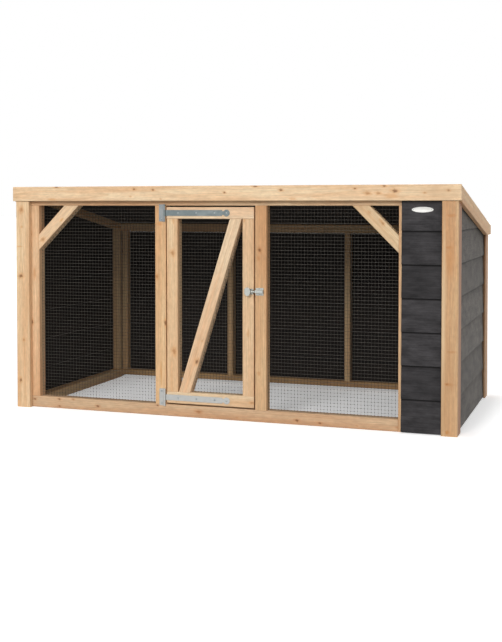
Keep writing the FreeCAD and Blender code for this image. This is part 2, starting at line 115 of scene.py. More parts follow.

# Knots, stains and patches of painted shade on the front faces, in mm: across the run, above the ground, half
# length along the grain, half width, and what it is.
MARKS = {
    "front_fascia": (
        (-718, 839, 26, 8, "stain"), (-697, 888, 12, 4, "knot"), (-374, 850, 8, 5, "stain"),
        (-359, 878, 7, 5, "knot"), (-279, 875, 7, 5, "knot"), (-247, 840, 8, 5, "stain"),
        (14, 864, 6, 5, "knot"), (136, 886, 12, 4, "knot"), (236, 872, 9, 6, "knot"),
        (281, 840, 22, 9, "stain"), (515, 876, 6, 4, "knot"), (562, 859, 12, 7, "ring"),
        (601, 859, 11, 6, "ring"), (622, 885, 8, 5, "knot"), (646, 850, 40, 14, "stain"),
        (661, 867, 13, 9, "knot"), (767, 860, 6, 4, "ring"), (850, 868, 6, 5, "knot"),
        # Painted shade at the fascia's right end, where the light falls off.
        (820, 862, 110, 45, "shade")),
    "front_left_corner_board": (
        (-865, 531, 9, 13, "knot"), (-871, 650, 5, 22, "stain"), (-861, 798, 12, 10, "ring"),
        (-859, 729, 7, 9, "stain"), (-853, 273, 6, 6, "ring"), (-868, 109, 10, 7, "knot")),
    "left_end_stile": (
        (-832, 701, 9, 6, "knot"), (-828, 343, 12, 8, "knot"), (-815, 540, 40, 9, "stain")),
    "hinge_stile": (
        (-276, 540, 9, 8, "ring"), (-266, 744, 9, 24, "stain"), (-241, 361, 14, 6, "knot"),
        (-259, 167, 75, 5, "resin")),
    "latch_stile": (
        (144, 648, 9, 9, "knot"), (139, 617, 14, 12, "stain"), (141, 184, 12, 10, "stain")),
    "left_corner_brace": ((-690, 758, 16, 7, "resin"), (-776, 679, 10, 9, "ring")),
    "right_corner_brace": (
        (561, 790, 12, 8, "stain"), (604, 761, 14, 9, "stain"), (612, 750, 8, 6, "ring")),
    "door_hinge_side_stile": (
        (-206, 756, 18, 8, "stain"), (-210, 632, 11, 10, "ring"), (-204, 252, 14, 11, "ring")),
    "door_latch_side_stile": ((84, 758, 10, 6, "stain"), (98, 334, 24, 9, "stain")),
    "door_brace": ((-109, 216, 12, 9, "knot"), (-87, 297, 8, 6, "stain")),
    "door_bottom_rail": ((114, 71, 9, 6, "ring"),),
    "front_bottom_rail": (
        (-816, 31, 7, 5, "knot"), (-705, 37, 7, 5, "knot"), (-704, 9, 6, 4, "knot"),
        (-642, 39, 6, 4, "ring"), (-533, 19, 9, 6, "knot"), (-274, 38, 6, 4, "knot"),
        (-103, 23, 12, 8, "ring"), (54, 11, 8, 5, "stain"), (291, 16, 9, 7, "knot"),
        (379, 12, 8, 5, "knot"), (519, 11, 8, 5, "stain"), (668, 16, 12, 8, "stain")),
    "front_right_corner_board": (
        (862, 780, 9, 24, "stain"), (858, 620, 80, 28, "blush"), (852, 668, 7, 18, "stain"),
        # The mark at 850, 170 is painted shade low on this board, where the light falls off.
        (865, 300, 7, 24, "stain"), (857, 184, 8, 24, "stain"), (850, 170, 280, 60, "shade"),
        (848, 186, 4, 8, "ring"), (850, 15, 11, 11, "resin"), (834, 450, 420, 14, "sapwood")),
}
# Each kind of mark's tint, and how much of the wood it hides in its middle.
MARK_TINTS = {
    "knot": ("6e4728", 0.8),
    "ring": ("a87548", 0.6),
    "stain": ("d0965f", 0.5),
    "resin": ("d2913f", 0.6),
    "sapwood": ("fbeed6", 0.6),
    "blush": ("dca874", 0.4),
    # Not a mark of the wood: painted shade where the light falls off.
    "shade": ("c9a582", 0.45),
}
KNOT_HALO = (1 / 0.45, 1 / 0.55)    # reach of the stain round a knot, in knots, along and across the grain
MM = 0.001

# Lamps, in degrees: breadth, tilt from straight down, turn from the front to the right.
LAMPS = {"soft_key": (24, 64, -5), "broad_fill": (60, 72, 38)}

# Camera: place, downward tilt and turn to the left in degrees, focal length in mm, and shift.
CAMERA_PLACE = (1.42025, -4.20698, 0.81494)
CAMERA_TILT = 1.9465
CAMERA_TURN = 19.0946
CAMERA_LENS = 59.904
CAMERA_SHIFT = -0.12337

# Floor: middle and half sizes of the patch where its painted glow is weakest, and the glow there and 80 mm
# beyond.
PATCH_MIDDLE = (0.045, 0.0, 0.0)
PATCH_HALVES = (0.87, 0.41, 0.0)
PATCH_RIM = 0.08
FLOOR_PAINTED_GLOW = (0.26, 0.46)


def linear(code):
    """An sRGB hex colour as linear red, green, blue and alpha."""
    shares = [int(code[start:start + 2], 16) / 255 for start in (0, 2, 4)]
    return tuple(c / 12.92 if c <= 0.04045 else ((c + 0.055) / 1.055) ** 2.4 for c in shares) + (1.0,)


def colour(name, description, code):
    """A colour that a user can change, from its hex default."""
    return bpy.props.FloatVectorProperty(
        name=name, description=description, subtype="COLOR", size=4, min=0.0, max=1.0, default=linear(code))


def length(name, description, metres):
    """A length that a user can change, in metres."""
    return bpy.props.FloatProperty(
        name=name, description=description, unit="LENGTH", subtype="DISTANCE", precision=4, default=metres)


class PetRunSettings(bpy.types.PropertyGroup):
    """Sizes and colours of the run's finish."""

    timber_ease: length("Timber arris", "Width of the eased edges along the planed timbers", 0.0025)
    board_ease: length("Board arris", "Width of the eased edges along the cladding boards", 0.0012)
    plate_ease: length("Plate edge", "Width of the rounded edges of the metal plates", 0.0004)
    felt_ease: length("Felt edge", "Width of the rounded edges of the roofing felt", 0.0008)
    board_cover: length("Board cover", "Height of cladding board that shows in each course", 0.1205)
    ground_gap: length("Ground gap", "Lowest cladding board above the ground", 0.0025)
    mesh_pitch: length("Mesh pitch", "Middle to middle of the welded wires", 0.0127)
    mesh_wire: length("Mesh wire", "Thickness of the welded wires", 0.00105)
    nail_radius: length("Nail head", "Radius of the nail heads", 0.0015)
    ring_spacing: length("Growth rings", "Width of a growth ring, coarse enough to show", 0.0075)
    earlywood: colour("Earlywood", "Pale wood between the growth lines", "f4dcbc")
    latewood: colour("Latewood", "Darker growth lines", "d2a67a")
    heartwood: colour("Heartwood", "Warmer streaks along the grain", "e2b68e")
    knot: colour("Knot", "Middle of a knot", "7a4a2a")
    stain: colour("Black stain", "Stain on the sawn boards", "1f1e1f")
    stain_thin: colour("Thin stain", "Stain on the front and back where it took thinly", "474547")
    stain_worn: colour("Worn stain", "Stain on the sides where weather has thinned it", "66625d")
    # The inside stains are the black stain made darker as painted shade of the run's inside, on the boards'
    # inner faces and the roof's underside.
    shaded_inside_stain: colour("Inside stain", "Brown-black stain on the boards' inner faces", "0d0a09")
    shaded_inside_stain_thin: colour("Thin inside stain", "Where the inner faces took less stain", "1f1916")
    zinc: colour("Zinc", "Galvanised plates of the bolt, and the hinge pins", "a2a49f")
    strap_zinc: colour("Upper strap zinc", "Upper hinge's strap, dulled by the weather", "6a7374")
    leaf_zinc: colour("Upper leaf zinc", "Upper hinge's leaf on the frame", "7c8081")
    lower_zinc: colour("Lower hinge zinc", "Lower hinge's strap and leaf", "a5a6a4")
    screw_zinc: colour("Screw zinc", "Heads of the screws", "8f9596")
    nail_steel: colour("Nail steel", "Heads of the nails", "8b857c")
    wire_zinc: colour("Line wire zinc", "Level wires of the mesh", "5b5853")
    # The upright wires are darker as painted shade: they catch less of the light from above than the level
    # wires.
    stay_zinc_shaded: colour("Stay wire zinc", "Upright wires of the mesh, drawn from a darker coil", "413e3a")
    felt: colour("Felt", "Mineral roofing felt", "3c3d40")
    enamel: colour("Oval plate", "Bare white plate on the clad panel", "e8e8e4")
    sun_strength: bpy.props.FloatProperty(
        name="Key lamp", description="Strength of the soft lamp at the front left", min=0.0, default=1.48)
    fill_strength: bpy.props.FloatProperty(
        name="Fill lamp", description="Strength of the broad lamp at the front right", min=0.0, default=1.2)
    sky_strength: bpy.props.FloatProperty(
        name="Sky", description="Strength of the overcast sky at the horizon", min=0.0, default=0.2)


def add(tree, kind, inputs, **settings):
    """A shader node with its settings, its constants and its links."""
    made = tree.nodes.new("ShaderNode" + kind)
    for key, value in settings.items():
        setattr(made, key, value)
    for socket, value in inputs.items():
        if isinstance(value, bpy.types.NodeSocket):
            tree.links.new(value, made.inputs[socket])
        else:
            made.inputs[socket].default_value = value
    return made


def surface(name):
    """A new material, its node tree and its shader."""
    material = bpy.data.materials.new(name)
    material.use_nodes = True
    return material, material.node_tree, material.node_tree.nodes["Principled BSDF"]


def planed_softwood(run):
    """Planed softwood, as sold for outdoor frames and left untreated.

    The plane leaves it smooth and half matt. The eye sees pale earlywood, darker growth lines drawn out along
    the grain, warm streaks, and brown knots that the lines swing round.
    """
    material, tree, skin = surface("planed_softwood")
    whole = add(tree, "TexCoord", {})
    board = add(tree, "Mapping", {"Vector": whole.outputs["Object"]}, name="Board")
    along = board.outputs["Vector"]

    # Knots: about one for each 300 x 85 mm of face, up to 9 mm in half width, twice as long along the grain.
    cell = add(tree, "VectorMath", {0: along, 1: (1 / 0.30, 1 / 0.085, 0)}, operation="MULTIPLY").outputs[0]
    spots = add(tree, "TexVoronoi", {"Vector": cell, "Scale": 1.0, "Randomness": 0.95},
                voronoi_dimensions="2D")
    offset = add(tree, "VectorMath", {0: cell, 1: spots.outputs["Position"]},
                 operation="SUBTRACT").outputs[0]
    offset = add(tree, "VectorMath", {0: offset, 1: (0.30 * 0.45, 0.085, 0)},
                 operation="MULTIPLY").outputs[0]
    reach = add(tree, "VectorMath", {0: offset}, operation="LENGTH").outputs["Value"]
    size = add(tree, "MapRange", {"Value": spots.outputs["Color"], "From Min": 0.62, "From Max": 0.97,
                                  "To Min": 0.0, "To Max": 0.009}, name="Knots").outputs[0]
    inside = add(tree, "Math", {0: size, 1: reach}, operation="SUBTRACT").outputs[0]
    core = add(tree, "MapRange", {"Value": inside, "From Max": 0.003},
               interpolation_type="SMOOTHSTEP").outputs[0]
    near = add(tree, "Math", {0: size, 1: 3.0}, operation="MULTIPLY").outputs[0]
    near = add(tree, "Math", {0: near, 1: reach}, operation="SUBTRACT").outputs[0]
    halo = add(tree, "MapRange", {"Value": near, "From Max": 0.022},
               interpolation_type="SMOOTHSTEP").outputs[0]

    # The pith's slow wander, fibres 2 mm across, streaks 40 mm across, pinker blotches about 150 x 50 mm,
    # and flecks about 25 x 8 mm.
    patterns = {}
    for name, repeats, detail, roughness in (
            ("wander", (0.9, 7.0, 7.0), 2.0, 0.5), ("fibre", (9.0, 480.0, 480.0), 3.0, 0.5),
            ("streak", (1.3, 26.0, 26.0), 3.0, 0.5), ("mottle", (6.5, 20.0, 20.0), 4.0, 0.6),
            ("fleck", (38.0, 120.0, 120.0), 3.0, 0.6)):
        place = add(tree, "VectorMath", {0: along, 1: repeats}, operation="MULTIPLY").outputs[0]
        patterns[name] = add(tree, "TexNoise", {"Vector": place, "Scale": 1.0, "Detail": detail,
                                                "Roughness": roughness}).outputs
    fibre = patterns["fibre"][0]
    streak = add(tree, "MapRange", {"Value": patterns["streak"][0], "From Min": 0.42, "From Max": 0.66,
                                    "To Max": 0.9}).outputs[0]
    mottle = add(tree, "MapRange", {"Value": patterns["mottle"][0], "From Min": 0.4, "From Max": 0.7,
                                    "To Max": 0.6}).outputs[0]
    fleck = add(tree, "MapRange", {"Value": patterns["fleck"][0], "From Min": 0.3, "From Max": 0.7,
                                   "To Min": 0.87, "To Max": 1.07}).outputs[0]

    # Growth rings: circles about a pith that lies below the board.
    wander = add(tree, "VectorMath",
                 {0: patterns["wander"]["Color"], 1: (0.0, 0.05, 0.05), 2: along},
                 operation="MULTIPLY_ADD").outputs[0]
    across = add(tree, "VectorMath", {0: wander, 1: (0, 1, 1), 2: (0.0, -0.02, 0.03)},
                 operation="MULTIPLY_ADD").outputs[0]
    radius = add(tree, "VectorMath", {0: across}, operation="LENGTH").outputs["Value"]
    radius = add(tree, "Math", {0: halo, 1: 0.009, 2: radius}, operation="MULTIPLY_ADD").outputs[0]
    ring = add(tree, "Math", {0: radius, 1: 1 / run.ring_spacing}, operation="MULTIPLY").outputs[0]
    ring = add(tree, "Math", {0: ring}, operation="FRACT").outputs[0]
    late = add(tree, "Math", {0: ring, 1: 2.6}, operation="POWER").outputs[0]

    lines = add(tree, "Math", {0: late, 1: 0.38}, operation="MULTIPLY").outputs[0]
    warm = add(tree, "Math", {0: halo, 1: 0.45}, operation="MULTIPLY").outputs[0]
    dark = add(tree, "Math", {0: core, 1: 0.85}, operation="MULTIPLY").outputs[0]
    wood = run.earlywood
    for share, tint in ((lines, run.latewood), (streak, run.heartwood), (mottle, linear("e8c29e")),
                        (warm, linear("c58a58")), (dark, run.knot)):
        wood = add(tree, "Mix", {0: share, 6: wood, 7: tint}, data_type="RGBA").outputs[2]
    shade = add(tree, "MapRange", {"Value": fibre, "From Min": 0.25, "From Max": 0.75,
                                   "To Min": 0.8, "To Max": 1.06}).outputs[0]
    for darker in (shade, fleck):
        wood = add(tree, "Mix", {0: 1.0, 6: wood, 7: darker}, data_type="RGBA",
                   blend_type="MULTIPLY").outputs[2]
    toned = add(tree, "Mix", {0: 1.0, 6: wood}, data_type="RGBA", blend_type="MULTIPLY", name="Tone")
    tree.links.new(toned.outputs[2], skin.inputs["Base Color"])

    rough = add(tree, "MapRange", {"Value": fibre, "To Min": 0.48, "To Max": 0.7}).outputs[0]
    tree.links.new(rough, skin.inputs["Roughness"])
    height = add(tree, "Math", {0: late, 1: 0.5, 2: fibre}, operation="MULTIPLY_ADD").outputs[0]
    relief = add(tree, "Bump", {"Height": height, "Strength": 0.35, "Distance": 0.0004})
    tree.links.new(relief.outputs["Normal"], skin.inputs["Normal"])
    skin.inputs["Specular IOR Level"].default_value = 0.35
    return material


def own_board(base, piece, node, seed):
    """The softwood turned along one board's grain, with its own stretch of tree and its own tone."""
    corners = [vertex.co for vertex in piece.data.vertices]
    runs = [corners[edge.vertices[1]] - corners[edge.vertices[0]] for edge in piece.data.edges]
    grain = max(runs, key=lambda run: run.length).normalized()
    crosswise = [axis for axis in (Vector((1, 0, 0)), Vector((0, 1, 0)), Vector((0, 0, 1)))
                 if abs(axis.dot(grain)) < 0.3]
    heights = [[corner.dot(axis) for corner in corners] for axis in crosswise]
    spans = [max(values) - min(values) for values in heights]
    thin = crosswise[spans.index(min(spans))]
    thin = (thin - grain * thin.dot(grain)).normalized()
    turn = Matrix((grain, thin.cross(grain), thin))
    middle = sum(corners, Vector()) / len(corners)
    # Up to 40 m along the tree and some 20 mm across it.
    chance = random.Random(seed)
    jog = Vector((chance.uniform(0, 40), chance.uniform(-0.02, 0.02), chance.uniform(-0.01, 0.02)))
    material = base.copy()
    material.name = "planed_softwood_" + node
    tree = material.node_tree
    board = tree.nodes["Board"]
    board.inputs["Rotation"].default_value = turn.to_euler()
    board.inputs["Location"].default_value = jog - turn @ middle
    tone = tree.nodes["Tone"]
    tone.inputs[7].default_value = linear(BOARD_TONES.get(node, OTHER_TONES[seed % len(OTHER_TONES)]))
    if node in MARKS:
        tree.nodes["Knots"].inputs["To Max"].default_value = 0.0
        wood = tone.inputs[6].links[0].from_socket
        face_y = min(corner.y for corner in corners)
        for x, z, half_length, half_width, kind in MARKS[node]:
            place = turn @ (Vector((x * MM, face_y, z * MM)) - middle) + jog
            halves = (half_length * MM, half_width * MM)
            if kind in ("knot", "ring"):
                halo = (halves[0] * KNOT_HALO[0], halves[1] * KNOT_HALO[1])
                wood = marked(tree, wood, place, *halo, "stain")
            wood = marked(tree, wood, place, *halves, kind)
        tree.links.new(wood, tone.inputs[6])
    return material


def marked(tree, wood, place, half_length, half_width, kind):
    """The wood's colour with one knot, stain or patch of painted shade in it, drawn out along the grain, its
    rim a little uneven.
    """
    along = tree.nodes["Board"].outputs["Vector"]
    offset = add(tree, "VectorMath", {0: along, 1: place}, operation="SUBTRACT").outputs[0]
    offset = add(tree, "VectorMath", {0: offset, 1: (1 / half_length, 1 / half_width, 1 / half_width)},
                 operation="MULTIPLY").outputs[0]
    reach = add(tree, "VectorMath", {0: offset}, operation="LENGTH").outputs["Value"]
    uneven = add(tree, "TexNoise", {"Vector": offset, "Scale": 1.3, "Detail": 2.0}).outputs[0]
    reach = add(tree, "Math", {0: uneven, 1: 1.1, 2: reach}, operation="MULTIPLY_ADD").outputs[0]
    tint, strength = MARK_TINTS[kind]
    spot = add(tree, "MapRange", {"Value": reach, "From Min": 1.55, "From Max": 0.75, "To Max": strength},
               interpolation_type="SMOOTHSTEP").outputs[0]
    return add(tree, "Mix", {0: spot, 6: wood, 7: linear(tint)}, data_type="RGBA").outputs[2]


def stained_board(name, quarter_turn, courses, stains, grain_share, fur, patch_length=0.09):
    """Rough-sawn softwood boards with a matt black stain.

    The saw leaves a furry face with fine cross marks. The stain takes unevenly, so patches and the grain show
    greyer, knots darker, and each board has its own depth of black. The face just under each board's edge is
    darkened as painted shadow. The courses are an axis, where the first board starts and how much of each
    shows; the stains are the full one and the thin one.
    """
    course_axis, first, cover = courses
    black, worn = stains
    material, tree, skin = surface(name)
    whole = add(tree, "TexCoord", {}).outputs["Object"]
    turned = add(tree, "Mapping", {"Vector": whole, "Rotation": (0.0, 0.0, quarter_turn)}).outputs["Vector"]
    places = add(tree, "SeparateXYZ", {0: whole}).outputs[course_axis]
    course = add(tree, "Math", {0: places, 1: first}, operation="SUBTRACT").outputs[0]
    course = add(tree, "Math", {0: course, 1: 1 / cover}, operation="MULTIPLY").outputs[0]
    climb = add(tree, "Math", {0: course}, operation="FRACT").outputs[0]
    course = add(tree, "Math", {0: course}, operation="FLOOR").outputs[0]
    luck = add(tree, "TexWhiteNoise", {"W": course}, noise_dimensions="1D")
    along = add(tree, "VectorMath", {0: luck.outputs["Color"], 1: (9.0, 0.7, 0.7), 2: turned},
                operation="MULTIPLY_ADD").outputs[0]

    # Painted shadow: the last 8 mm of face below the next board's edge.
    painted_edge_shadow = add(tree, "MapRange", {"Value": climb, "From Min": 1 - 0.008 / cover,
                                   "From Max": 1 - 0.004 / cover, "To Max": 0.85},
                interpolation_type="SMOOTHSTEP").outputs[0]

    # Grain streaks 4 mm across, patches about 35 mm across, saw marks about 4 mm apart.
    patterns = []
    for repeats, detail, roughness in (((9.0, 250.0, 250.0), 4.0, 0.6),
                                       ((1 / patch_length, 28.0, 28.0), 5.0, 0.62),
                                       ((250.0, 30.0, 30.0), 2.0, 0.5)):
        place = add(tree, "VectorMath", {0: along, 1: repeats}, operation="MULTIPLY").outputs[0]
        patterns.append(add(tree, "TexNoise", {"Vector": place, "Scale": 1.0, "Detail": detail,
                                               "Roughness": roughness}).outputs[0])
    streak, patch, saw = patterns

    # Knots: about one for each 330 x 110 mm of face, up to 18 mm in half width, fading in over 7 mm.
    cell = add(tree, "VectorMath", {0: along, 1: (1 / 0.33, 1 / 0.11, 1 / 0.11)},
               operation="MULTIPLY").outputs[0]
    spots = add(tree, "TexVoronoi", {"Vector": cell, "Scale": 1.0})
    size = add(tree, "MapRange", {"Value": spots.outputs["Color"], "From Min": 0.45, "From Max": 0.95,
                                  "To Max": 0.16}).outputs[0]
    knot = add(tree, "Math", {0: size, 1: spots.outputs["Distance"]}, operation="SUBTRACT").outputs[0]
    knot = add(tree, "MapRange", {"Value": knot, "From Max": 0.06},
               interpolation_type="SMOOTHSTEP").outputs[0]

    grain = add(tree, "MapRange", {"Value": streak, "From Min": 0.3, "From Max": 0.7}).outputs[0]
    thin = add(tree, "MapRange", {"Value": patch, "From Min": 0.36, "From Max": 0.66}).outputs[0]
    wear = add(tree, "Mix", {0: grain_share, 2: thin, 3: grain}, data_type="FLOAT").outputs[0]
    stain = add(tree, "Mix", {0: wear, 6: black, 7: worn}, data_type="RGBA").outputs[2]
    lot = add(tree, "MapRange", {"Value": luck.outputs["Value"], "To Min": 0.78, "To Max": 1.15}).outputs[0]
    stain = add(tree, "Mix", {0: 1.0, 6: stain, 7: lot}, data_type="RGBA", blend_type="MULTIPLY").outputs[2]
    # The knots darken the stain, and so does the painted shadow under each board's edge.
    dark = add(tree, "Math", {0: knot, 1: 0.6}, operation="MULTIPLY").outputs[0]
    dark = add(tree, "Math", {0: dark, 1: painted_edge_shadow}, operation="MAXIMUM").outputs[0]
    stain = add(tree, "Mix", {0: dark, 6: stain, 7: linear("0a0909")}, data_type="RGBA").outputs[2]
    tree.links.new(stain, skin.inputs["Base Color"])
    rough = add(tree, "MapRange", {"Value": streak, "To Min": 0.6, "To Max": 0.85}).outputs[0]
    tree.links.new(rough, skin.inputs["Roughness"])
    height = add(tree, "Math", {0: saw, 1: 0.5, 2: streak}, operation="MULTIPLY_ADD").outputs[0]
    relief = add(tree, "Bump", {"Height": height, "Strength": 0.5, "Distance": 0.0012})
    tree.links.new(relief.outputs["Normal"], skin.inputs["Normal"])
    skin.inputs["Specular IOR Level"].default_value = 0.14
    skin.inputs["Sheen Weight"].default_value = fur
    skin.inputs["Sheen Roughness"].default_value = 0.35
    skin.inputs["Sheen Tint"].default_value = linear("f4efe9")
    return material


def zinc_plate(name, tint, crystal=0.007):
    """Hot-dip galvanised pressed steel.

    The zinc sets in crystals some millimetres across, so the dull grey face has faint facets of light and
    dark.
    """
    material, tree, skin = surface(name)
    whole = add(tree, "TexCoord", {}).outputs["Object"]
    facets = add(tree, "TexVoronoi", {"Vector": whole, "Scale": 1 / crystal}).outputs["Color"]
    cloud = add(tree, "TexNoise", {"Vector": whole, "Scale": 22.0, "Detail": 3.0}).outputs[0]
    tone = add(tree, "MapRange", {"Value": facets, "To Min": 0.93, "To Max": 1.05}).outputs[0]
    base = add(tree, "Mix", {0: 1.0, 6: tint, 7: tone}, data_type="RGBA", blend_type="MULTIPLY").outputs[2]
    bloom = add(tree, "MapRange", {"Value": cloud, "From Min": 0.45, "From Max": 0.7,
                                   "To Max": 0.25}).outputs[0]
    base = add(tree, "Mix", {0: bloom, 6: base, 7: linear("a9adac")}, data_type="RGBA").outputs[2]
    tree.links.new(base, skin.inputs["Base Color"])
    rough = add(tree, "MapRange", {"Value": facets, "To Min": 0.44, "To Max": 0.54}).outputs[0]
    tree.links.new(rough, skin.inputs["Roughness"])
    skin.inputs["Metallic"].default_value = 1.0
    return material


def wire_zinc(name, tint):
    """Galvanised welded wire, gone dull: a grey coat with uneven light and dark along each wire."""
    material, tree, skin = surface(name)
    whole = add(tree, "TexCoord", {}).outputs["Object"]
    cloud = add(tree, "TexNoise", {"Vector": whole, "Scale": 90.0, "Detail": 2.0}).outputs[0]
    tone = add(tree, "MapRange", {"Value": cloud, "From Min": 0.3, "From Max": 0.7,
                                  "To Min": 0.7, "To Max": 1.25}).outputs[0]
    base = add(tree, "Mix", {0: 1.0, 6: tint, 7: tone}, data_type="RGBA", blend_type="MULTIPLY").outputs[2]
    tree.links.new(base, skin.inputs["Base Color"])
    rough = add(tree, "MapRange", {"Value": cloud, "To Min": 0.45, "To Max": 0.65}).outputs[0]
    tree.links.new(rough, skin.inputs["Roughness"])
    skin.inputs["Metallic"].default_value = 1.0
    return material


def mineral_felt(run):
    """Bitumen roofing felt faced with crushed slate.

    The chips are about 1.5 mm; they are drawn at 4 mm so that the speckle shows from a few metres.
    """
    material, tree, skin = surface("mineral_felt")
    whole = add(tree, "TexCoord", {}).outputs["Object"]
    chips = add(tree, "TexVoronoi", {"Vector": whole, "Scale": 1 / 0.004})
    cloud = add(tree, "TexNoise", {"Vector": whole, "Scale": 5.0, "Detail": 4.0}).outputs[0]
    tone = add(tree, "MapRange", {"Value": chips.outputs["Color"], "To Min": 0.55, "To Max": 1.7}).outputs[0]
    base = add(tree, "Mix", {0: 1.0, 6: run.felt, 7: tone}, data_type="RGBA",
               blend_type="MULTIPLY").outputs[2]
    dust = add(tree, "MapRange", {"Value": cloud, "From Min": 0.4, "From Max": 0.75,
                                  "To Max": 0.35}).outputs[0]
    base = add(tree, "Mix", {0: dust, 6: base, 7: linear("5a5a5b")}, data_type="RGBA").outputs[2]
    tree.links.new(base, skin.inputs["Base Color"])
    relief = add(tree, "Bump", {"Height": chips.outputs["Distance"], "Strength": 0.6, "Distance": 0.001})
    tree.links.new(relief.outputs["Normal"], skin.inputs["Normal"])
    skin.inputs["Roughness"].default_value = 0.92
    skin.inputs["Specular IOR Level"].default_value = 0.25
    return material


def stove_enamel(run):
    """White stove enamel on a thin pressed plate: smooth, a little glossy, slightly clouded by dust."""
    material, tree, skin = surface("stove_enamel")
    whole = add(tree, "TexCoord", {}).outputs["Object"]
    cloud = add(tree, "TexNoise", {"Vector": whole, "Scale": 70.0, "Detail": 3.0}).outputs[0]
    dust = add(tree, "MapRange", {"Value": cloud, "From Min": 0.45, "From Max": 0.75,
                                  "To Max": 0.3}).outputs[0]
    base = add(tree, "Mix", {0: dust, 6: run.enamel, 7: linear("cfcfca")}, data_type="RGBA").outputs[2]
    tree.links.new(base, skin.inputs["Base Color"])
    rough = add(tree, "MapRange", {"Value": cloud, "To Min": 0.25, "To Max": 0.45}).outputs[0]
    tree.links.new(rough, skin.inputs["Roughness"])
    return material


def settle(bm, name, body, materials, eased_faces=()):
    """A finished bmesh as a piece that rides on a body and takes a slot's finish.

    Round faces and eased edges are shaded smoothly; the flat faces beside an eased edge stay flat.
    """
    bm.normal_update()
    for face in bm.faces:
        face.smooth = True
    for edge in bm.edges:
        sides = {face in eased_faces for face in edge.link_faces}
        edge.smooth = edge.is_manifold and len(sides) == 1 and edge.calc_face_angle() < ROUND
    mesh = bpy.data.meshes.new(name)
    bm.to_mesh(mesh)
    bm.free()
    loaded_normals = mesh.attributes.get("custom_normal")
    if loaded_normals:
        mesh.attributes.remove(loaded_normals)
    for material in materials:
        mesh.materials.append(material)
    piece = bpy.data.objects.new(name, mesh)
    bpy.context.scene.collection.objects.link(piece)
    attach(piece, body)
    return piece


def merged(node):
    """A copy of a node's triangles with their doubled corners merged."""
    bm = bmesh.new()
    bm.from_mesh(frame["nodes"][node].data)
    bmesh.ops.remove_doubles(bm, verts=bm.verts, dist=WELD)
    return bm


def eased(node, ease, suffix, materials, all_round=False, groove_y=None):
    """A piece with its outside edges eased, standing for its node.

    A plate is eased all round, a board only along its length, and the edges of a mesh groove stay sharp.
    """
    bm = merged(node)
    bmesh.ops.dissolve_limit(bm, angle_limit=FLAT, verts=bm.verts, edges=bm.edges)
    if not bm.faces:
        raise RuntimeError("no faces left in " + node)
    edges = [edge for edge in bm.edges if edge.is_manifold and edge.calc_face_angle_signed() > CORNER]
    if not all_round:
        longest = max(edge.calc_length() for edge in bm.edges)
        edges = [edge for edge in edges if edge.calc_length() > longest * LONG_SHARE]
    if groove_y is not None:
        edges = [edge for edge in edges if min(abs(end.co.y - groove_y) for end in edge.verts) > ease]
    made = bmesh.ops.bevel(bm, geom=edges, offset=ease, offset_type="OFFSET", affect="EDGES", segments=2,
                           profile=0.5, material=-1, clamp_overlap=all_round)
    piece = settle(bm, node + suffix, BODIES[node], materials, set(made["faces"]))
    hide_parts(node)
    return piece


def aim(place, outward):
    """A frame at a place whose Z points outward."""
    return Matrix.Translation(place) @ Vector(outward).to_track_quat("Z", "Y").to_matrix().to_4x4()


def drive_nail(bm, place, outward, radius):
    """A flat nail head with a rounded rim, a hair proud of the wood."""
    bmesh.ops.create_cone(bm, cap_ends=True, segments=10, radius1=radius, radius2=radius * 0.7,
                          depth=radius * 0.3, matrix=aim(place, outward))


def drive_screw(bm, place, outward, radius, rise):
    """A domed screw head with a sunk middle."""
    outer = Vector(outward)
    sides = 16
    made = bmesh.ops.create_cone(bm, cap_ends=True, segments=sides, radius1=radius, radius2=radius * 0.9,
                                 depth=rise * 0.6, matrix=aim(Vector(place) + outer * rise * 0.3, outward))
    ends = (face for vertex in made["verts"] for face in vertex.link_faces if len(face.verts) == sides)
    crown = max(ends, key=lambda face: face.calc_center_median().dot(outer))
    # The dome's two steps and the sunk middle, as shares of the radius and of the rise.
    for inset, lift in ((0.22, 0.28), (0.28, 0.12), (0.04, -0.5)):
        bmesh.ops.inset_region(bm, faces=[crown], thickness=radius * inset, use_even_offset=True)
        bmesh.ops.translate(bm, verts=crown.verts, vec=outer * rise * lift)


def lay_wire(bm, radius, reach, place):
    """A straight wire along its own Z."""
    bmesh.ops.create_cone(bm, cap_ends=True, segments=6, radius1=radius, radius2=radius, depth=reach,
                          matrix=place)


class PETRUN_OT_timbers(bpy.types.Operator):
    """Ease the planed timbers' edges and give each its own grain"""
    bl_idname = "petrun.timbers"
    bl_label = "Planed timbers"

    def execute(self, context):
        run = context.scene.pet_run
        base = planed_softwood(run)
        net_low, net_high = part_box("left_mesh_panel")
        groove_y = (net_low.y + net_high.y) / 2
        for seed, node in enumerate(TIMBERS):
            piece = eased(node, run.timber_ease, "_planed", [], groove_y=groove_y)
            piece.data.materials.append(own_board(base, piece, node, seed))
        bpy.data.materials.remove(base)
        return {"FINISHED"}


